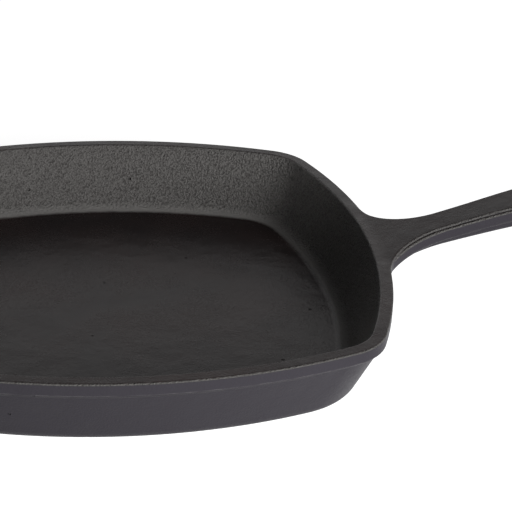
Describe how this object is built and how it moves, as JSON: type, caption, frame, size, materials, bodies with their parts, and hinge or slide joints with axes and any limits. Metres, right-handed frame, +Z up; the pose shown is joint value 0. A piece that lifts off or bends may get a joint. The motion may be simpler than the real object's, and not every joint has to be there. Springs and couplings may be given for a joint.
{
  "type": "square skillet",
  "caption": "Square cast iron skillet with bowed sides, draughted walls, a plain floor, a long waisted handle with a hang hole and a looped helper handle.",
  "frame": {"origin": "middle of the flat face that the pan rests on", "axes": "+Z up out of the pan, +X along the long handle, the helper handle at -X"},
  "size_m": [0.4318, 0.2666, 0.0665],
  "materials": {
    "seasoned_iron": "seasoned, matt satin black with a fine cast grain"
  },
  "bodies": {
    "root": {"pan_body": "seasoned_iron", "long_handle": "seasoned_iron", "helper_handle": "seasoned_iron"}
  },
  "joints": []
}
